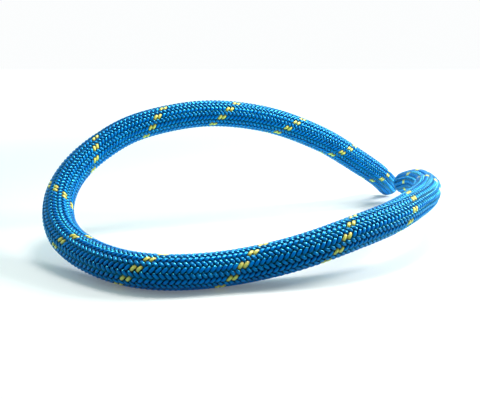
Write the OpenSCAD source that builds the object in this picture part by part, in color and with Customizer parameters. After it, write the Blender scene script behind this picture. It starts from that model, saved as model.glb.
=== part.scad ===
// Dynamic climbing rope: a sample length of kernmantle rope, set in one open loop.
// A braided sheath covers twelve parallel core strands and a marker tape,
// and both ends are closed where sheath and core are melted together.
// Millimetres. X right, Y back, Z up. The origin is on the resting plane, at the middle of the loop.

/* [Rope] */
// Outside diameter over the crowns of the braid
rope_d = 10; // [9.4:0.1:10.4]
// Thickness of the braided sheath
sheath_t = 1.0; // [0.9:0.05:1.05]
// Number of flat sides on the sheath tube
sheath_sides = 12; // [8:4:12]

/* [Tracer yarns] */
// Length of rope in which one sheath yarn goes once around
braid_pitch = 27.8; // [24:0.2:34]
// Width of one tracer yarn, measured around the rope
tracer_w = 1.5; // [1.0:0.1:1.6]
// Angle around the rope at which the first tracer yarn starts
tracer_start = 26; // [0:1:359]
// Carriers of the braiding machine, half of them going each way
carriers = 36; // [32:4:40]

/* [Core] */
// Diameter of one core strand
strand_d = 1.68; // [1.5:0.02:1.68]
// Number of strands in the outer ring of the core
outer_strands = 9; // [9:1:9]
// Number of strands in the inner ring of the core
inner_strands = 3; // [3:1:3]
// Width of the marker tape
tape_w = 1.6; // [1.2:0.1:1.6]
// Thickness of the marker tape
tape_t = 0.1; // [0.06:0.02:0.1]

/* [Ends] */
// Length of each melted end
fused_len = 6; // [5:0.5:8]
// Chamfer around the rim of each melted end
fused_chamfer = 0.6; // [0.4:0.1:1.0]

/* [Hidden] */

// Guide points of the rope's centre line, from the back end round the left side to the front end.
// The rope rests along the stretch at Z 5, stands on its back end, and arches between the two.
route = [
    [61, 57.5, 7], [54.5, 45.5, 13], [42, 37.5, 21], [31, 31, 28.5], [18, 25.5, 34.5],
    [4.5, 20.5, 39.5], [-15.5, 14.5, 42.5], [-30.5, 9.5, 41], [-45.5, 5, 37.5], [-54, 0.5, 32.5],
    [-62, -7.5, 26.5], [-66.5, -20, 18], [-62.5, -36, 9], [-49.5, -49.5, 5.5], [-35.5, -60, 5],
    [-21.5, -62, 5], [-6, -57, 5], [11, -55, 8.5], [26.5, -48.5, 12.5], [41.5, -37.5, 14.5],
    [49, -27.5, 16], [57, -16.5, 16.5], [61, -2.5, 17], [65.5, 9, 14], [66.5, 22, 14.5],
    [66.5, 31.5, 12.5], [66.5, 39.5, 10.5]
];
// Gaps between the rings of the swept tubes, all of one length
gaps = 60;
// Fine steps in each stretch between two guide points, used to measure the rope's run
per_span = 12;

rope_r = rope_d / 2;
lift = rope_r - 5;
sheath_r = rope_r - 0.1;
core_r = sheath_r - sheath_t;
strand_r = strand_d / 2;
outer_ring_r = core_r - strand_r - 0.26;
inner_ring_r = strand_r * 1.19;
tape_r = core_r * cos(180 / sheath_sides) - 0.02 - tape_t / 2;

// Smooth centre line: a uniform cubic B-spline over the guide points, running out straight at both ends.
function guide(i) =
    i < 0 ? 2 * route[0] - route[1] :
    i >= len(route) ? 2 * route[len(route) - 1] - route[len(route) - 2] :
    route[i];
function spline(i, t) =
    (pow(1 - t, 3) * guide(i - 1)
    + (3 * pow(t, 3) - 6 * t * t + 4) * guide(i)
    + (-3 * pow(t, 3) + 3 * t * t + 3 * t + 1) * guide(i + 1)
    + pow(t, 3) * guide(i + 2)) / 6 + [0, 0, lift];
function unit(v) = v / norm(v);

fine_last = (len(route) - 1) * per_span;
fine = [for (k = [0:fine_last]) spline(min(floor(k / per_span), len(route) - 2),
                                       k == fine_last ? 1 : k / per_span - floor(k / per_span))];
fine_run = [for (k = 0, s = 0; k <= fine_last;
    s = s + (k < fine_last ? norm(fine[k + 1] - fine[k]) : 0), k = k + 1) s];
rope_run = fine_run[fine_last];
function fine_axis(a) = [for (k = [0:fine_last]) [fine_run[k], fine[k][a]]];
fine_x = fine_axis(0);
fine_y = fine_axis(1);
fine_z = fine_axis(2);

// Rings at equal steps along the centre line.
last = gaps;
gap = rope_run / gaps;
centre = [for (k = [0:last]) let (s = k * gap) [lookup(s, fine_x), lookup(s, fine_y), lookup(s, fine_z)]];
tangent = [for (k = [0:last])
    k == 0 ? unit(route[1] - route[0]) :
    k == last ? unit(route[len(route) - 1] - route[len(route) - 2]) :
    unit(centre[k + 1] - centre[k - 1])];
// Side and upper directions of each ring, kept level so the tube is not twisted.
side = [for (k = [0:last]) unit(cross(tangent[k], [0, 0, 1]))];
upper = [for (k = [0:last]) cross(side[k], tangent[k])];
// A point at radius r and angle a around ring k.
function ring_point(k, r, a) = centre[k] + r * (cos(a) * side[k] + sin(a) * upper[k]);
// The same at distance s along the rope, between two rings.
function along_point(s, r, a) =
    let (q = s / gap, k = max(0, min(floor(q), last - 1)), f = q - k)
    (1 - f) * ring_point(k, r, a) + f * ring_point(k + 1, r, a);

// Triangles of a closed skin over rings of n points each.
function skin(rings, n) = concat(
    [for (k = [0:rings - 2], j = [0:n - 1]) [k * n + j, k * n + (j + 1) % n, (k + 1) * n + (j + 1) % n]],
    [for (k = [0:rings - 2], j = [0:n - 1]) [k * n + j, (k + 1) * n + (j + 1) % n, (k + 1) * n + j]],
    [[for (j = [n - 1:-1:0]) j]],
    [[for (j = [0:n - 1]) (rings - 1) * n + j]]
);

// A straight-sided tube with an open bore, swept along the centre line.
module swept_tube(r_out, r_in, sides) {
    n = sides;
    m = last + 1;
    points = concat(
        [for (k = [0:last], j = [0:n - 1]) ring_point(k, r_out, -90 + j * 360 / n)],
        [for (k = [0:last], j = [0:n - 1]) ring_point(k, r_in, -90 + j * 360 / n)]);
    o = m * n;
    outer = [for (k = [0:last - 1], j = [0:n - 1], h = [0, 1])
        let (a = k * n + j, b = k * n + (j + 1) % n, c = (k + 1) * n + (j + 1) % n, d = (k + 1) * n + j)
        h == 0 ? [a, b, c] : [a, c, d]];
    inner = [for (f = outer) [o + f[2], o + f[1], o + f[0]]];
    first_rim = [for (j = [0:n - 1], h = [0, 1])
        let (a = j, b = (j + 1) % n)
        h == 0 ? [a, o + b, b] : [a, o + a, o + b]];
    last_rim = [for (f = first_rim) [for (i = [2:-1:0]) f[i] + last * n]];
    polyhedron(points, concat(outer, inner, first_rim, last_rim), convexity = 10);
}

// A round strand swept at a fixed place in the rope's section.
module swept_strand(ring_r, ring_a, r, sides = 8) {
    points = [for (k = [0:last], j = [0:sides - 1])
        ring_point(k, ring_r, ring_a)
        + r * (cos(j * 360 / sides) * side[k] + sin(j * 360 / sides) * upper[k])];
    polyhedron(points, skin(last + 1, sides), convexity = 10);
}

// A flat tape swept at a fixed place in the rope's section.
module swept_tape(ring_r, ring_a, w, t) {
    points = [for (k = [0:last], c = [[-w / 2, -t / 2], [w / 2, -t / 2], [w / 2, t / 2], [-w / 2, t / 2]])
        ring_point(k, ring_r + c[1], ring_a)
        + c[0] * (-sin(ring_a) * side[k] + cos(ring_a) * upper[k])];
    polyhedron(points, skin(last + 1, 4), convexity = 10);
}

// One tracer yarn: a flat yarn wound left-handed through the sheath, with a section every 30 degrees.
module tracer(a0) {
    half = tracer_w / (PI * rope_d) * braid_pitch / 2;
    step = 360 / sheath_sides;
    first = ceil((half + 0.4 + a0 / 360 * braid_pitch) / (braid_pitch / sheath_sides));
    final = floor((rope_run - half - 0.4 + a0 / 360 * braid_pitch) / (braid_pitch / sheath_sides));
    points = [for (i = [first:final], c = [[-half, 4.5 / 5], [half, 4.5 / 5], [half, 1], [-half, 1]])
        let (s = i * braid_pitch / sheath_sides - a0 / 360 * braid_pitch + c[0])
        along_point(s, rope_r * c[1], i * step)];
    polyhedron(points, skin(final - first + 1, 4), convexity = 10);
}

// A melted end: a solid plug of sheath and core, chamfered at its rim.
module fused_end(p, dir) {
    translate(p)
        rotate([0, acos(dir[2]), atan2(dir[1], dir[0])])
            rotate_extrude($fn = 96)
                polygon([[0, 0], [rope_r, 0], [rope_r, fused_len - fused_chamfer],
                         [rope_r - fused_chamfer, fused_len], [0, fused_len]]);
}

module sheath() { color([0.02, 0.33, 0.66]) swept_tube(sheath_r, core_r, sheath_sides); }
module tracer_yarn_a() { color([0.90, 0.80, 0.20]) tracer(tracer_start); }
module tracer_yarn_b() { color([0.90, 0.80, 0.20]) tracer(tracer_start - 720 / carriers); }
module core_strand(i) {
    color(i % 2 == 0 ? [0.93, 0.92, 0.88] : [0.88, 0.89, 0.90])
        if (i < outer_strands) swept_strand(outer_ring_r, i * 360 / outer_strands, strand_r);
        else swept_strand(inner_ring_r, (i - outer_strands) * 360 / inner_strands, strand_r);
}
module marker_tape() { color([0.85, 0.35, 0.30]) swept_tape(tape_r, -180 / sheath_sides * 3, tape_w, tape_t); }
module fused_end_back() { color([0.03, 0.25, 0.50]) fused_end(centre[0], -tangent[0]); }
module fused_end_front() { color([0.03, 0.25, 0.50]) fused_end(centre[last], tangent[last]); }

sheath();
tracer_yarn_a();
tracer_yarn_b();
core_strand(0);  // core_strand_01
core_strand(1);  // core_strand_02
core_strand(2);  // core_strand_03
core_strand(3);  // core_strand_04
core_strand(4);  // core_strand_05
core_strand(5);  // core_strand_06
core_strand(6);  // core_strand_07
core_strand(7);  // core_strand_08
core_strand(8);  // core_strand_09
core_strand(9);  // core_strand_10
core_strand(10);  // core_strand_11
core_strand(11);  // core_strand_12
marker_tape();
fused_end_back();
fused_end_front();
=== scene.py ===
import math

import bpy
import numpy as np
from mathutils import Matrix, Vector


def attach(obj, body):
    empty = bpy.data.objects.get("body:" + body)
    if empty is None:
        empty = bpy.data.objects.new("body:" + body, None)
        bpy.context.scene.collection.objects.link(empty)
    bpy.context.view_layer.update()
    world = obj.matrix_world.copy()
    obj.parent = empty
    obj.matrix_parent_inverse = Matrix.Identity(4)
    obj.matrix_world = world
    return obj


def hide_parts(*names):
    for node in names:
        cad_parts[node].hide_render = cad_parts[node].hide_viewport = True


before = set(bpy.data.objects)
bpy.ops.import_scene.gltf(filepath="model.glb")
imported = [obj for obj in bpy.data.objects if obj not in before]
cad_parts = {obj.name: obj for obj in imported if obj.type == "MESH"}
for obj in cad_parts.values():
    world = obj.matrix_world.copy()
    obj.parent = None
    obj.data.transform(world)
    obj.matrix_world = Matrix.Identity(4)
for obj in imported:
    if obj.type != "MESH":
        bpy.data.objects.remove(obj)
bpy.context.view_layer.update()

scene = bpy.context.scene

# ---------------------------------------------------------------- camera
cam_data = bpy.data.cameras.new("camera")
cam_data.sensor_fit = "HORIZONTAL"
cam_data.sensor_width = 36.0
cam_data.lens = 45.0
cam_data.clip_start = 0.01
cam_data.clip_end = 100.0
cam = bpy.data.objects.new("camera", cam_data)
scene.collection.objects.link(cam)
cam.location = (-0.006, -0.2145, 0.05909)
cam.rotation_euler = (math.radians(77.467), 0.0, 0.0)
scene.camera = cam

# ---------------------------------------------------------------- the rope's run
# The guide points of part.scad, in metres, from the back end round the left side to the front end.
ROUTE = np.array([
    [61, 57.5, 7], [54.5, 45.5, 13], [42, 37.5, 21], [31, 31, 28.5], [18, 25.5, 34.5],
    [4.5, 20.5, 39.5], [-15.5, 14.5, 42.5], [-30.5, 9.5, 41], [-45.5, 5, 37.5], [-54, 0.5, 32.5],
    [-62, -7.5, 26.5], [-66.5, -20, 18], [-62.5, -36, 9], [-49.5, -49.5, 5.5], [-35.5, -60, 5],
    [-21.5, -62, 5], [-6, -57, 5], [11, -55, 8.5], [26.5, -48.5, 12.5], [41.5, -37.5, 14.5],
    [49, -27.5, 16], [57, -16.5, 16.5], [61, -2.5, 17], [65.5, 9, 14], [66.5, 22, 14.5],
    [66.5, 31.5, 12.5], [66.5, 39.5, 10.5]]) * 1e-3
MM = 1e-3
ROPE_R = 5.0 * MM
END = 6.0 * MM            # each melted end reaches this far past the guide points
PITCH = 27.8 * MM         # length in which one yarn goes once round
CARRIERS = 36             # half of them wind each way


def b_spline(points, per_span):
    """A uniform cubic B-spline that runs out straight at both ends, as in part.scad."""
    e = np.vstack([2 * points[0] - points[1], points, 2 * points[-1] - points[-2]])
    t = (np.arange(per_span) / per_span)[:, None]
    out = [((1 - t) ** 3 * e[i] + (3 * t ** 3 - 6 * t * t + 4) * e[i + 1]
            + (-3 * t ** 3 + 3 * t * t + 3 * t + 1) * e[i + 2] + t ** 3 * e[i + 3]) / 6
           for i in range(len(points) - 1)]
    return np.vstack(out + [points[-1:]])


def unit(v):
    return v / np.linalg.norm(v, axis=-1, keepdims=True)


LINE = b_spline(ROUTE, 80)
_back, _front = unit(ROUTE[0] - ROUTE[1]), unit(ROUTE[-1] - ROUTE[-2])
_steps = (np.arange(1, 41) / 40 * END)[:, None]
LINE = np.vstack([LINE[0] + _steps[::-1] * _back, LINE, LINE[-1] + _steps * _front])
RUN = np.concatenate([[0], np.cumsum(np.linalg.norm(np.diff(LINE, axis=0), axis=1))]) - END
LENGTH = float(RUN[-1] + END)                 # end to end
RUN_END = float(RUN[-1])
TANGENT = unit(np.gradient(LINE, axis=0))

# Section directions carried along without turning, as the strands of a real rope lie.
_a = [unit(np.cross(TANGENT[0], [0.0, 0.0, 1.0]))]
for _i in range(len(LINE) - 1):
    _v = LINE[_i + 1] - LINE[_i]
    _c = _v @ _v
    _r = _a[-1] - 2 / _c * (_v @ _a[-1]) * _v
    _t = TANGENT[_i] - 2 / _c * (_v @ TANGENT[_i]) * _v
    _v = TANGENT[_i + 1] - _t
    _c = _v @ _v
    if _c > 1e-14:
        _r = _r - 2 / _c * (_v @ _r) * _v
    _a.append(unit(_r - (_r @ TANGENT[_i + 1]) * TANGENT[_i + 1]))
AXIS_A = np.array(_a)
AXIS_B = np.cross(AXIS_A, TANGENT)


def at(table, s):
    return np.stack([np.interp(s, RUN, table[:, k]) for k in range(3)], axis=-1)


# On a bend the braid slides a little over the core. In mm, along the rope, at distances in mm:
# the same all round, and towards the side that faces down and forward.
SLIDE_KNOTS = np.array([-10, 125, 150, 175, 200, 225, 250, 275, 300, 325, 350, 400.0])
SLIDE_ROUND = np.array([0, -0.2, -0.6, -0.7, -0.4, 0.3, -0.2, 0.2, 0.1, 0.05, 0, 0])
SLIDE_UNDER = np.array([0, 0, 0, 0, 0.4, 0.75, -0.8, 0, 0.1, 0.05, 0, 0])
UNDER = np.array([0.0, -0.8, -0.6])


def smooth(x, knots, values):
    """Monotone-safe cubic through the knots, with slopes from the neighbours."""
    h = np.diff(knots)
    d = np.diff(values) / h
    m = np.concatenate([[d[0]], (d[:-1] * h[1:] + d[1:] * h[:-1]) / (h[1:] + h[:-1]), [d[-1]]])
    i = np.clip(np.searchsorted(knots, x) - 1, 0, len(h) - 1)
    t = (x - knots[i]) / h[i]
    return ((2 * t ** 3 - 3 * t ** 2 + 1) * values[i] + (t ** 3 - 2 * t ** 2 + t) * h[i] * m[i]
            + (-2 * t ** 3 + 3 * t ** 2) * values[i + 1] + (t ** 3 - t ** 2) * h[i] * m[i + 1])


def surface(s, phi, r):
    """The point at radius r and angle phi round the rope, s along it, and the outward direction."""
    c, d = np.cos(phi)[..., None], np.sin(phi)[..., None]
    out = c * at(AXIS_A, s) + d * at(AXIS_B, s)
    s = s + MM * (smooth(s / MM, SLIDE_KNOTS, SLIDE_ROUND) + smooth(s / MM, SLIDE_KNOTS, SLIDE_UNDER) * (out @ UNDER))
    out = c * at(AXIS_A, s) + d * at(AXIS_B, s)
    return at(LINE, s) + np.asarray(r)[..., None] * out, out


# ---------------------------------------------------------------- the braid's two phases
# Degrees, at distances in mm along the rope: the angle of the tracer pair, less its steady winding,
# and the angle of a row of floats. A bent braid creeps a little, so neither is quite constant.
KNOTS = np.array([-10, 0, 50, 100, 150, 175, 200, 250, 300, 340, 390.0])
PAIR = np.array([17, 20.5, 37.5, 50, 72, 81, 77, 65.5, 38.5, 38, 18.5])
ROWS = np.array([20, 19, 13, 12.5, 16, 18.5, 20, 15, 8.5, -2.5, 15])


def pair_angle(s):
    return 360 * s / PITCH + smooth(s / MM, KNOTS, PAIR)


def row_angle(s):
    return smooth(s / MM, KNOTS, ROWS)


STEP = 720 / CARRIERS            # degrees between yarns of one direction
ROW = 2 * STEP                   # degrees between rows of floats of one direction
PER_ROW = 12                     # rings of a yarn's mesh from one float to the next
SIDES = 10
YARN_MID = 4.36 * MM             # radius of the yarns' middle layer
YARN_WAVE = 0.34 * MM            # how far a yarn rises and dips from it
YARN_T = 0.62 * MM               # thickness of a yarn
YARN_W = 0.96 * MM               # width of a yarn


def yarn(direction, index, s0, s1):
    """Ring points [rings, sides, 3], length along, and depth (1 on top, -1 under) of one yarn."""
    s = np.linspace(s0, s1, 6000)
    # angle of the yarn relative to the rows: the yarn floats on top where it is a multiple of ROW
    if direction > 0:
        alpha = pair_angle(s) + STEP / 2 + STEP * index - row_angle(s)
    else:
        alpha = -(pair_angle(s) - row_angle(s)) + STEP * index + STEP
    if direction > 0:
        steps = np.arange(math.ceil(alpha[0] / ROW * PER_ROW), math.floor(alpha[-1] / ROW * PER_ROW) + 1)
        al = steps * ROW / PER_ROW
        sv = np.interp(al, alpha, s)
    else:
        steps = np.arange(math.ceil(alpha[-1] / ROW * PER_ROW), math.floor(alpha[0] / ROW * PER_ROW) + 1)[::-1]
        al = steps * ROW / PER_ROW
        sv = np.interp(-al, -alpha, s)
    # take the ends in as well
    sv = np.concatenate([[s0], sv, [s1]])
    al = np.concatenate([[alpha[0]], al, [alpha[-1]]])
    keep = np.concatenate([[True], np.diff(sv) > 0.03 * MM])
    sv, al = sv[keep], al[keep]
    x = np.radians(al * 360 / ROW) if direction > 0 else np.radians((al - STEP) * 360 / ROW)
    c = np.cos(x)
    # a float lies nearly level for most of its length and dives steeply under the crossing yarns
    wave = np.tanh(1.3 * (c - 0.15)) / math.tanh(1.3)
    phi = np.radians(al + row_angle(sv))
    # the ends of the yarns sink into the melted zone
    edge = np.minimum(sv + END, RUN_END - sv) / MM
    melt = np.clip((edge - 0.4) / 2.2, 0, 1)
    melt = melt * melt * (3 - 2 * melt)
    r = YARN_MID + YARN_WAVE * wave * (0.45 + 0.55 * melt) - 0.10 * MM * (1 - melt)
    p, out = surface(sv, phi, r)
    t = unit(np.gradient(p, axis=0))
    across = unit(np.cross(t, out))
    up = unit(np.cross(across, t))
    up *= np.sign((up * out).sum(-1, keepdims=True))
    w = YARN_W * (0.93 + 0.07 * wave) / 2
    h = YARN_T * (0.94 + 0.06 * wave) / 2
    th = (np.arange(SIDES) + 0.5) / SIDES * 2 * np.pi
    cx, cy = np.cos(th), np.sin(th)
    e = 2 / 2.15
    cx, cy = np.sign(cx) * np.abs(cx) ** e, np.sign(cy) * np.abs(cy) ** e
    ring = (p[:, None] + (w[:, None] * cx)[..., None] * across[:, None]
            + (h[:, None] * cy)[..., None] * up[:, None])
    along = np.concatenate([[0], np.cumsum(np.linalg.norm(np.diff(p, axis=0), axis=1))])
    return ring, along, wave


def tubes_mesh(name, tubes, strip_rows):
    """One mesh of several closed tubes. tubes holds (rings, along, depth, tone)."""
    verts, quads, caps, yarn_uv, bake_uv, depth, tone = [], [], [], [], [], [], []
    base = 0
    total = sum(t[1][-1] for t in tubes)
    strip = total / (strip_rows - len(tubes))     # metres of tube in one strip of the bake map
    row0 = 0
    for rings, along, wave, shade in tubes:
        n, m = rings.shape[:2]
        verts.append(rings.reshape(-1, 3))
        depth.append(np.repeat(wave, m))
        tone.append(np.full(n * m, shade))
        k = np.arange(n - 1)[:, None]
        j = np.arange(m)[None, :]
        a = base + k * m + j
        b = base + k * m + (j + 1) % m
        quads.append(np.stack([a, b, b + m, a + m], -1).reshape(-1, 4))
        v0 = np.broadcast_to(j / m, (n - 1, m))
        v1 = np.broadcast_to((j + 1) / m, (n - 1, m))
        u0 = np.broadcast_to(along[:-1, None], (n - 1, m))
        u1 = np.broadcast_to(along[1:, None], (n - 1, m))
        yarn_uv.append(np.stack([np.stack([u0, v0], -1), np.stack([u0, v1], -1),
                                 np.stack([u1, v1], -1), np.stack([u1, v0], -1)], 2).reshape(-1, 2))
        row = np.floor(along[:-1] / strip)[:, None]
        su0, su1 = (u0 / strip - row), (u1 / strip - row)
        row = row + row0
        pad = 0.06
        w0, w1 = (row + pad + (1 - 2 * pad) * v0) / strip_rows, (row + pad + (1 - 2 * pad) * v1) / strip_rows
        su0, su1 = su0 * 0.985 + 0.004, su1 * 0.985 + 0.004
        bake_uv.append(np.stack([np.stack([su0, w0], -1), np.stack([su0, w1], -1),
                                 np.stack([su1, w1], -1), np.stack([su1, w0], -1)], 2).reshape(-1, 2))
        row0 += math.floor(along[-1] / strip) + 1
        caps.append((base + np.arange(m)[::-1], base + (n - 1) * m + np.arange(m)))
        base += n * m
    verts = np.vstack(verts)
    quads = np.vstack(quads)
    me = bpy.data.meshes.new(name)
    cap_faces = [c for pair in caps for c in pair]
    m = SIDES if not cap_faces else len(cap_faces[0])
    n_loops = quads.size + sum(len(c) for c in cap_faces)
    n_faces = len(quads) + len(cap_faces)
    me.vertices.add(len(verts))
    me.vertices.foreach_set("co", verts.astype(np.float32).ravel())
    me.loops.add(n_loops)
    me.polygons.add(n_faces)
    loops = np.concatenate([quads.ravel()] + [np.asarray(c) for c in cap_faces]).astype(np.int32)
    me.loops.foreach_set("vertex_index", loops)
    starts = np.concatenate([np.arange(len(quads)) * 4,
                             quads.size + np.concatenate([[0], np.cumsum([len(c) for c in cap_faces])[:-1]])])
    me.polygons.foreach_set("loop_start", starts.astype(np.int32))
    me.polygons.foreach_set("use_smooth", np.ones(n_faces, bool))
    cap_uv = np.concatenate([
        np.stack([0.992 + 0.006 * (i % 2) + 0.002 * np.cos(np.arange(len(c)) / len(c) * 2 * np.pi),
                  (i + 0.5) / (len(cap_faces) + 1) + 0.002 * np.sin(np.arange(len(c)) / len(c) * 2 * np.pi)], -1)
        for i, c in enumerate(cap_faces)])
    for label, uv in (("Yarn", yarn_uv), ("OFBake", bake_uv)):
        layer = me.uv_layers.new(name=label)
        layer.data.foreach_set("uv", np.vstack(uv + [cap_uv]).astype(np.float32).ravel())
    for label, values in (("depth", depth), ("tone", tone)):
        attr = me.attributes.new(label, "FLOAT", "POINT")
        attr.data.foreach_set("value", np.concatenate(values).astype(np.float32))
    me.update(calc_edges=True)
    me.validate(clean_customdata=False)
    obj = bpy.data.objects.new(name, me)
    scene.collection.objects.link(obj)
    return obj


# ---------------------------------------------------------------- node helpers
def new_material(name):
    mat = bpy.data.materials.new(name)
    mat.use_nodes = True
    nt = mat.node_tree
    nt.nodes.clear()
    out = nt.nodes.new("ShaderNodeOutputMaterial")
    shader = nt.nodes.new("ShaderNodeBsdfPrincipled")
    nt.links.new(shader.outputs["BSDF"], out.inputs["Surface"])
    return mat, nt, shader


def node(nt, kind, **values):
    n = nt.nodes.new(kind)
    for k, v in values.items():
        if k in n.inputs:
            n.inputs[k].default_value = v
        else:
            setattr(n, k, v)
    return n


def nylon(name, dark, mid, light, roughness, streak=0.35, gloss=0.5, tint=(1.0, 1.0, 1.0)):
    """Shiny continuous-filament yarn: fine streaks along its length, tone differing a little yarn by yarn, and painted
    shade where a yarn dips under the crossing yarns.
    """
    mat, nt, shader = new_material(name)
    link = nt.links.new
    uv = node(nt, "ShaderNodeUVMap", uv_map="Yarn")
    scale = node(nt, "ShaderNodeMapping")
    # u is in metres along the yarn, v goes 0 to 1 round it
    scale.inputs["Scale"].default_value = (900.0, 26.0, 1.0)
    link(uv.outputs["UV"], scale.inputs["Vector"])
    fil = node(nt, "ShaderNodeTexNoise", noise_dimensions="2D")
    fil.inputs["Scale"].default_value = 1.0
    fil.inputs["Detail"].default_value = 3.0
    fil.inputs["Roughness"].default_value = 0.6
    link(scale.outputs["Vector"], fil.inputs["Vector"])
    tone = node(nt, "ShaderNodeAttribute", attribute_name="tone")
    depth = node(nt, "ShaderNodeAttribute", attribute_name="depth")
    coarse = node(nt, "ShaderNodeTexNoise")
    coarse.inputs["Scale"].default_value = 160.0
    coarse.inputs["Detail"].default_value = 2.0
    pos = node(nt, "ShaderNodeTexCoord")
    link(pos.outputs["Object"], coarse.inputs["Vector"])
    # mix = 0.5 + streak*(noise-0.5) + 0.5*tone + 0.25*(coarse-0.5) + 0.12*depth
    a = node(nt, "ShaderNodeMath", operation="MULTIPLY_ADD")
    link(fil.outputs["Fac"], a.inputs[0])
    a.inputs[1].default_value = streak
    a.inputs[2].default_value = 0.5 - streak / 2
    b = node(nt, "ShaderNodeMath", operation="MULTIPLY_ADD")
    link(tone.outputs["Fac"], b.inputs[0])
    b.inputs[1].default_value = 0.5
    link(a.outputs[0], b.inputs[2])
    c = node(nt, "ShaderNodeMath", operation="MULTIPLY_ADD")
    link(coarse.outputs["Fac"], c.inputs[0])
    c.inputs[1].default_value = 0.25
    # painted shade as well: the depth term makes floats on top lighter and the dips darker
    d = node(nt, "ShaderNodeMath", operation="MULTIPLY_ADD")
    link(depth.outputs["Fac"], d.inputs[0])
    d.inputs[1].default_value = 0.22
    link(b.outputs[0], d.inputs[2])
    link(d.outputs[0], c.inputs[2])
    e = node(nt, "ShaderNodeMath", operation="SUBTRACT")
    link(c.outputs[0], e.inputs[0])
    e.inputs[1].default_value = 0.125
    ramp = node(nt, "ShaderNodeValToRGB")
    ramp.color_ramp.elements[0].position = 0.2
    ramp.color_ramp.elements[0].color = (*dark, 1)
    ramp.color_ramp.elements[1].position = 0.85
    ramp.color_ramp.elements[1].color = (*light, 1)
    middle = ramp.color_ramp.elements.new(0.5)
    middle.color = (*mid, 1)
    link(e.outputs[0], ramp.inputs["Fac"])
    # painted shade: the base colour is darkened where a yarn dips under the crossing yarns, since the dips between the
    # floats hold less light than a render's short light paths find
    sink = node(nt, "ShaderNodeMapRange", interpolation_type="SMOOTHSTEP")
    link(depth.outputs["Fac"], sink.inputs["Value"])
    sink.inputs["From Min"].default_value = 0.0
    sink.inputs["From Max"].default_value = 0.93
    sink.inputs["To Min"].default_value = 0.05
    sink.inputs["To Max"].default_value = 1.0
    shade = node(nt, "ShaderNodeMix", data_type="RGBA", blend_type="MULTIPLY")
    shade.inputs[0].default_value = 1.0
    link(ramp.outputs["Color"], shade.inputs[6])
    link(sink.outputs["Result"], shade.inputs[7])
    link(shade.outputs[2], shader.inputs["Base Color"])
    rough = node(nt, "ShaderNodeMath", operation="MULTIPLY_ADD")
    link(fil.outputs["Fac"], rough.inputs[0])
    rough.inputs[1].default_value = 0.22
    rough.inputs[2].default_value = roughness - 0.11
    link(rough.outputs[0], shader.inputs["Roughness"])
    bump = node(nt, "ShaderNodeBump")
    bump.inputs["Strength"].default_value = 0.35
    bump.inputs["Distance"].default_value = 0.00006
    link(fil.outputs["Fac"], bump.inputs["Height"])
    link(bump.outputs["Normal"], shader.inputs["Normal"])
    shader.inputs["Specular IOR Level"].default_value = gloss
    shader.inputs["Specular Tint"].default_value = (*tint, 1)
    shader.inputs["IOR"].default_value = 1.65
    # filaments spread a glint across the yarn and keep it narrow along the yarn
    shader.inputs["Anisotropic"].default_value = 0.85
    shader.inputs["Anisotropic Rotation"].default_value = 0.25
    run = node(nt, "ShaderNodeTangent", direction_type="UV_MAP", uv_map="Yarn")
    link(run.outputs["Tangent"], shader.inputs["Tangent"])
    return mat


# the right-hand yarns get a darker copy of the blue with its own glint tint: painted shade for how light falls on yarns
# of that hand, the same nylon as the left-hand yarns
BLUE_RIGHT_PAINTED_SHADE = nylon("sheath_blue_right_painted_shade", (0.000, 0.020, 0.130), (0.000, 0.054, 0.330), (0.000, 0.180, 0.640), 0.25,
                   gloss=1.0, tint=(0.04, 0.90, 1.0))
BLUE = nylon("sheath_blue_left", (0.000, 0.032, 0.190), (0.000, 0.072, 0.430), (0.000, 0.190, 0.700), 0.28,
             gloss=1.0, tint=(0.0, 0.80, 1.0))
YELLOW = nylon("tracer_yellow", (0.60, 0.36, 0.01), (0.98, 0.68, 0.05), (1.0, 0.86, 0.22), 0.34,
               gloss=0.8, tint=(1.0, 0.92, 0.5))


def finished(obj, material):
    obj.data.materials.clear()
    obj.data.materials.append(material)
    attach(obj, "root")
    return obj


rng = np.random.default_rng(7)
tones = {(d, i): float(rng.uniform(-0.14, 0.14)) for d in (1, -1) for i in range(CARRIERS // 2)}
S0, S1 = -END + 0.35 * MM, RUN_END - 0.35 * MM
half = CARRIERS // 2


def braid_group(name, members, material):
    return finished(tubes_mesh(name, [(*yarn(d, i, S0, S1), tones[(d, i)]) for d, i in members], 38 if len(members) > 1 else 7),
                    material)


left_members = [(1, i) for i in range(1, half - 1)]          # 0 and half-1 are the tracer yarns
right_members = [(-1, i) for i in range(half)]
groups = []
for k, part in enumerate((left_members[:6], left_members[6:11], left_members[11:])):
    groups.append(braid_group(f"sheath_yarns_left_{k + 1}", part, BLUE))
for k in range(3):
    groups.append(braid_group(f"sheath_yarns_right_{k + 1}", right_members[6 * k:6 * k + 6],
                              BLUE_RIGHT_PAINTED_SHADE))
tracer_a = braid_group("tracer_yarn_a_braided", [(1, 0)], YELLOW)
tracer_b = braid_group("tracer_yarn_b_braided", [(1, half - 1)], YELLOW)
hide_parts("sheath")
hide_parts("tracer_yarn_a")
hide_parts("tracer_yarn_b")

# ---------------------------------------------------------------- the inner face of the sheath
def round_tube(s, r, sides):
    phi = np.arange(sides) / sides * 2 * np.pi
    ss = np.repeat(s, sides)
    p, _ = surface(ss, np.tile(phi, len(s)), np.full(len(ss), r))
    return p.reshape(len(s), sides, 3)


ls = np.linspace(-END + 1.0 * MM, RUN_END - 1.0 * MM, 260)
# painted shade: the inner face is coloured near black, standing in for the shade inside the braid that shows between
# the yarns
LINER_PAINTED_SHADE = nylon("sheath_inside", (0.000, 0.012, 0.05), (0.000, 0.018, 0.07), (0.0, 0.025, 0.09), 0.7, gloss=0.1)
liner = finished(tubes_mesh("sheath_inside", [(round_tube(ls, 4.08 * MM, 32), ls - ls[0], np.zeros(len(ls)), 0.0)], 6),
                 LINER_PAINTED_SHADE)

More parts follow.
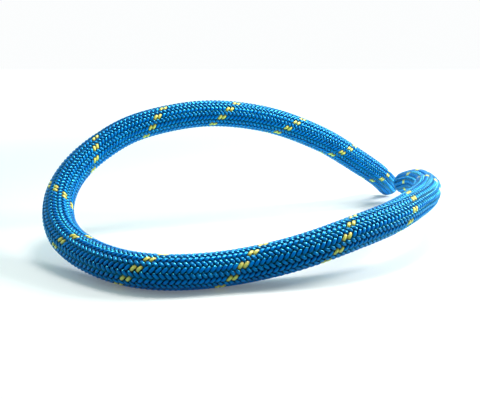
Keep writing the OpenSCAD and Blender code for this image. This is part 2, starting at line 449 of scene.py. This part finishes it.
# ---------------------------------------------------------------- melted ends
def melted_end(name, s_end, sign, seed):
    """A revolved plug with a rounded glossy rim, ridges where the yarns run in, and a lumpy cut face."""
    turn = 144
    # (distance back from the end plane, radius) in mm, from inside the sheath over the rim to the middle of the face
    profile = [(3.2, 3.9), (2.6, 4.3), (2.1, 4.62), (1.7, 4.76), (1.3, 4.82), (0.95, 4.86), (0.65, 4.85),
               (0.4, 4.78), (0.2, 4.64), (0.08, 4.46), (0.03, 4.25), (0.05, 4.0), (0.1, 3.7), (0.12, 3.35),
               (0.12, 3.0), (0.12, 2.6), (0.12, 2.2), (0.12, 1.8), (0.12, 1.4), (0.12, 1.0), (0.12, 0.6), (0.12, 0.25)]
    back = np.array([p[0] for p in profile]) * MM
    rad = np.array([p[1] for p in profile]) * MM
    phi = np.arange(turn) / turn * 2 * np.pi
    r = np.random.default_rng(seed)
    wob = sum(a * np.cos(k * phi + b) for k, a, b in zip(range(2, 8), r.uniform(0.01, 0.045, 6), r.uniform(0, 6.28, 6)))
    B, PHI = np.meshgrid(back, phi, indexing="ij")
    R = np.repeat(rad[:, None], turn, 1)
    outer = np.clip((R / MM - 4.0) / 0.6, 0, 1)
    ridge = 0.05 * np.cos(PHI * CARRIERS / 2 + 0.6 * np.sin(3 * PHI + seed)) + 0.03 * np.cos(PHI * CARRIERS + seed)
    R = R + MM * outer * (ridge * np.clip((B / MM - 0.1) / 1.0, 0, 1) + wob[None, :])
    R = np.minimum(R, 4.97 * MM)
    # core strands melted into shallow bumps on the face
    x, y = R / MM * np.cos(PHI), R / MM * np.sin(PHI)
    bump = np.zeros_like(x)
    centres = [(2.8 * math.cos(k * 2 * math.pi / 9), 2.8 * math.sin(k * 2 * math.pi / 9)) for k in range(9)]
    centres += [(1.0 * math.cos(k * 2 * math.pi / 3), 1.0 * math.sin(k * 2 * math.pi / 3)) for k in range(3)]
    near = np.full_like(x, 9.0)
    for cx, cy in centres:
        near = np.minimum(near, np.hypot(x - cx, y - cy))
    face = np.clip((3.9 - R / MM) / 0.4, 0, 1) * (B < 0.5 * MM)
    bump = (0.10 * np.clip(1 - (near / 0.85) ** 2, 0, 1) - 0.05) * face
    B = B - MM * bump + MM * 0.05 * face
    B = np.maximum(B, 0.005 * MM)
    S = s_end - sign * B
    p, _ = surface(S.ravel(), PHI.ravel(), R.ravel())
    rings = p.reshape(len(back), turn, 3)
    core = np.repeat((np.clip((3.75 - rad / MM) / 0.3, 0, 1) * (back < 0.5 * MM))[:, None], turn, 1)
    verts = rings.reshape(-1, 3)
    mid = verts[-turn:].mean(0)
    verts = np.vstack([verts, mid])
    faces = []
    for i in range(len(back) - 1):
        for j in range(turn):
            a, b = i * turn + j, i * turn + (j + 1) % turn
            q = (a, b, b + turn, a + turn)
            faces.append(q if sign > 0 else q[::-1])
    last = (len(back) - 1) * turn
    for j in range(turn):
        q = (last + j, last + (j + 1) % turn, len(verts) - 1)
        faces.append(q if sign > 0 else q[::-1])
    me = bpy.data.meshes.new(name)
    me.from_pydata(verts.tolist(), [], faces)
    me.polygons.foreach_set("use_smooth", np.ones(len(faces), bool))
    attr = me.attributes.new("core", "FLOAT", "POINT")
    attr.data.foreach_set("value", np.concatenate([core.ravel(), [1.0]]).astype(np.float32))
    # the rim mask: the material paints the rounded rim paler, a painted sheen
    rim = np.exp(-((R / MM - 4.6) / 0.25) ** 2) * np.exp(-(B / MM / 0.6) ** 2)
    attr = me.attributes.new("rim", "FLOAT", "POINT")
    attr.data.foreach_set("value", np.concatenate([rim.ravel(), [0.0]]).astype(np.float32))
    gap = np.clip((near - 0.62) / 0.3, 0, 1) * face
    attr = me.attributes.new("gap", "FLOAT", "POINT")
    attr.data.foreach_set("value", np.concatenate([gap.ravel(), [1.0]]).astype(np.float32))
    me.update(calc_edges=True)
    obj = bpy.data.objects.new(name, me)
    scene.collection.objects.link(obj)
    return obj


def melted_material():
    mat, nt, shader = new_material("melted_nylon")
    link = nt.links.new
    pos = node(nt, "ShaderNodeTexCoord")
    noise = node(nt, "ShaderNodeTexNoise")
    noise.inputs["Scale"].default_value = 900.0
    noise.inputs["Detail"].default_value = 4.0
    link(pos.outputs["Object"], noise.inputs["Vector"])
    blue = node(nt, "ShaderNodeValToRGB")
    blue.color_ramp.elements[0].position = 0.3
    blue.color_ramp.elements[0].color = (0.0, 0.07, 0.25, 1)
    blue.color_ramp.elements[1].position = 0.7
    blue.color_ramp.elements[1].color = (0.01, 0.17, 0.42, 1)
    link(noise.outputs["Fac"], blue.inputs["Fac"])
    white = node(nt, "ShaderNodeValToRGB")
    white.color_ramp.elements[0].position = 0.25
    white.color_ramp.elements[0].color = (0.50, 0.47, 0.38, 1)
    white.color_ramp.elements[1].position = 0.75
    white.color_ramp.elements[1].color = (0.80, 0.79, 0.72, 1)
    link(noise.outputs["Fac"], white.inputs["Fac"])
    gap = node(nt, "ShaderNodeAttribute", attribute_name="gap")
    groove = node(nt, "ShaderNodeMix", data_type="RGBA")
    link(gap.outputs["Fac"], groove.inputs[0])
    link(white.outputs["Color"], groove.inputs[6])
    groove.inputs[7].default_value = (0.34, 0.31, 0.24, 1)
    core = node(nt, "ShaderNodeAttribute", attribute_name="core")
    mix = node(nt, "ShaderNodeMix", data_type="RGBA")
    link(core.outputs["Fac"], mix.inputs[0])
    link(blue.outputs["Color"], mix.inputs[6])
    link(groove.outputs[2], mix.inputs[7])
    # painted sheen: the rounded rim near the cut is painted a paler grey blue
    rim = node(nt, "ShaderNodeAttribute", attribute_name="rim")
    pale = node(nt, "ShaderNodeMix", data_type="RGBA")
    link(rim.outputs["Fac"], pale.inputs[0])
    link(mix.outputs[2], pale.inputs[6])
    pale.inputs[7].default_value = (0.30, 0.47, 0.58, 1)
    link(pale.outputs[2], shader.inputs["Base Color"])
    rough = node(nt, "ShaderNodeMath", operation="MULTIPLY_ADD")
    link(noise.outputs["Fac"], rough.inputs[0])
    rough.inputs[1].default_value = 0.25
    rough.inputs[2].default_value = 0.18
    link(rough.outputs[0], shader.inputs["Roughness"])
    bump = node(nt, "ShaderNodeBump")
    bump.inputs["Strength"].default_value = 0.4
    bump.inputs["Distance"].default_value = 0.0001
    link(noise.outputs["Fac"], bump.inputs["Height"])
    link(bump.outputs["Normal"], shader.inputs["Normal"])
    shader.inputs["IOR"].default_value = 1.53
    return mat


MELTED = melted_material()
end_back = finished(melted_end("melted_end_back", -END, -1, 3), MELTED)
end_front = finished(melted_end("melted_end_front", RUN_END, 1, 5), MELTED)
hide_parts("fused_end_back")
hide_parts("fused_end_front")

# ---------------------------------------------------------------- core strands and marker tape
def fibre_material(name, a_col, b_col, roughness):
    mat, nt, shader = new_material(name)
    link = nt.links.new
    pos = node(nt, "ShaderNodeTexCoord")
    noise = node(nt, "ShaderNodeTexNoise")
    noise.inputs["Scale"].default_value = 2500.0
    noise.inputs["Detail"].default_value = 3.0
    link(pos.outputs["Object"], noise.inputs["Vector"])
    ramp = node(nt, "ShaderNodeValToRGB")
    ramp.color_ramp.elements[0].position = 0.3
    ramp.color_ramp.elements[0].color = (*a_col, 1)
    ramp.color_ramp.elements[1].position = 0.7
    ramp.color_ramp.elements[1].color = (*b_col, 1)
    link(noise.outputs["Fac"], ramp.inputs["Fac"])
    link(ramp.outputs["Color"], shader.inputs["Base Color"])
    shader.inputs["Roughness"].default_value = roughness
    return mat


CORE = fibre_material("core_white", (0.72, 0.71, 0.66), (0.88, 0.87, 0.83), 0.45)
TAPE = fibre_material("marker_film", (0.62, 0.16, 0.12), (0.72, 0.22, 0.17), 0.4)
for n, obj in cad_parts.items():
    if n.startswith("core_strand"):
        obj.data.materials.clear()
        obj.data.materials.append(CORE)
    elif n == "marker_tape":
        obj.data.materials.clear()
        obj.data.materials.append(TAPE)

# ---------------------------------------------------------------- the other pieces of the rope, gathered in a list
others = groups[1:] + [tracer_a, tracer_b, liner, end_back, end_front]
others += [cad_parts[n] for n in sorted(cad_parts) if n.startswith("core_strand") or n == "marker_tape"]

# ---------------------------------------------------------------- floor, light
floor_me = bpy.data.meshes.new("floor")
floor_me.from_pydata([(-6, -6, 0), (6, -6, 0), (6, 12, 0), (-6, 12, 0)], [], [(0, 1, 2, 3)])
floor = bpy.data.objects.new("floor", floor_me)
scene.collection.objects.link(floor)
mat, nt, shader = new_material("floor_pale")
# pale to the eye, and it throws less light back up than it shows
lit = node(nt, "ShaderNodeLightPath")
tone_mix = node(nt, "ShaderNodeMix", data_type="RGBA")
nt.links.new(lit.outputs["Is Camera Ray"], tone_mix.inputs[0])
tone_mix.inputs[7].default_value = (0.87, 0.805, 0.775, 1)
nt.links.new(tone_mix.outputs[2], shader.inputs["Base Color"])
# the floor glows, weakly near the rope and more strongly away from it: painted light that makes the paper run out to
# plain white away from the rope
where = node(nt, "ShaderNodeTexCoord")
far = node(nt, "ShaderNodeVectorMath", operation="LENGTH")
nt.links.new(where.outputs["Object"], far.inputs[0])
white = node(nt, "ShaderNodeMapRange", interpolation_type="SMOOTHSTEP")
white.inputs["From Min"].default_value = 0.09
white.inputs["From Max"].default_value = 0.50
white.inputs["To Min"].default_value = 0.12
white.inputs["To Max"].default_value = 0.68
# painted shade in the bounce light: in front of the rope the floor throws a darker colour back up than behind it
apart = node(nt, "ShaderNodeSeparateXYZ")
nt.links.new(where.outputs["Object"], apart.inputs[0])
front_bounce_shade = node(nt, "ShaderNodeMapRange", interpolation_type="SMOOTHSTEP")
front_bounce_shade.inputs["From Min"].default_value = -0.085
front_bounce_shade.inputs["From Max"].default_value = -0.015
front_bounce_shade.inputs["To Min"].default_value = 0.0
front_bounce_shade.inputs["To Max"].default_value = 1.0
nt.links.new(apart.outputs["Y"], front_bounce_shade.inputs["Value"])
lift = node(nt, "ShaderNodeMix", data_type="RGBA")
nt.links.new(front_bounce_shade.outputs["Result"], lift.inputs[0])
lift.inputs[6].default_value = (0.14, 0.27, 0.33, 1)
lift.inputs[7].default_value = (0.50, 0.95, 1.00, 1)
nt.links.new(lift.outputs[2], tone_mix.inputs[6])
nt.links.new(far.outputs["Value"], white.inputs["Value"])
nt.links.new(white.outputs["Result"], shader.inputs["Emission Strength"])
shader.inputs["Emission Color"].default_value = (0.98, 1.0, 1.0, 1)
shader.inputs["Roughness"].default_value = 0.6
shader.inputs["Specular IOR Level"].default_value = 0.1
floor_me.materials.append(mat)

world = bpy.data.worlds.new("studio")
scene.world = world
world.use_nodes = True
wt = world.node_tree
bg = wt.nodes["Background"]
bg.inputs["Color"].default_value = (0.62, 0.96, 1.0, 1)
# white card stands behind and above the rope, and the room on the camera's side is dark
way = wt.nodes.new("ShaderNodeTexCoord")
split = wt.nodes.new("ShaderNodeSeparateXYZ")
wt.links.new(way.outputs["Generated"], split.inputs["Vector"])
card = wt.nodes.new("ShaderNodeMapRange")
card.interpolation_type = "SMOOTHSTEP"
card.inputs["From Min"].default_value = -0.75
card.inputs["From Max"].default_value = 0.55
card.inputs["To Min"].default_value = 0.30
card.inputs["To Max"].default_value = 0.9
wt.links.new(split.outputs["Y"], card.inputs["Value"])
wt.links.new(card.outputs["Result"], bg.inputs["Strength"])
# the sweep behind the rope is seen as plain white paper
paper = wt.nodes.new("ShaderNodeBackground")
paper.inputs["Color"].default_value = (0.972, 0.985, 0.988, 1)
paper.inputs["Strength"].default_value = 1.0
seen = wt.nodes.new("ShaderNodeLightPath")
both = wt.nodes.new("ShaderNodeMixShader")
wt.links.new(seen.outputs["Is Camera Ray"], both.inputs["Fac"])
wt.links.new(bg.outputs["Background"], both.inputs[1])
wt.links.new(paper.outputs["Background"], both.inputs[2])
wt.links.new(both.outputs["Shader"], wt.nodes["World Output"].inputs["Surface"])


def lamp(name, location, target, size, power, color=(1, 1, 1)):
    """A round soft light aimed at a point."""
    data = bpy.data.lights.new(name, "AREA")
    data.shape = "DISK"
    data.size = size
    data.energy = power
    data.color = color
    obj = bpy.data.objects.new(name, data)
    scene.collection.objects.link(obj)
    obj.location = location
    obj.rotation_euler = (Vector(target) - Vector(location)).to_track_quat("-Z", "Y").to_euler()
    return obj


lamp("key", (0.26, 0.02, 0.170), (-0.03, -0.03, 0.01), 0.10, 0.95, (0.92, 1.0, 1.0))
behind = lamp("behind", (0.10, 0.15, 0.27), (0.0, 0.0, 0.02), 0.26, 0.28, (0.92, 1.0, 1.0))
behind.visible_diffuse = False
lamp("overhead", (0.03, 0.015, 0.31), (0.03, 0.0151, 0.0), 0.13, 0.56)
# a small lamp that only shows as glints on the yarns
glint = lamp("glint", (0.06, 0.03, 0.33), (0.0, -0.02, 0.0), 0.09, 0.75)
glint.visible_diffuse = False

scene.view_settings.view_transform = "Standard"
scene.view_settings.look = "None"
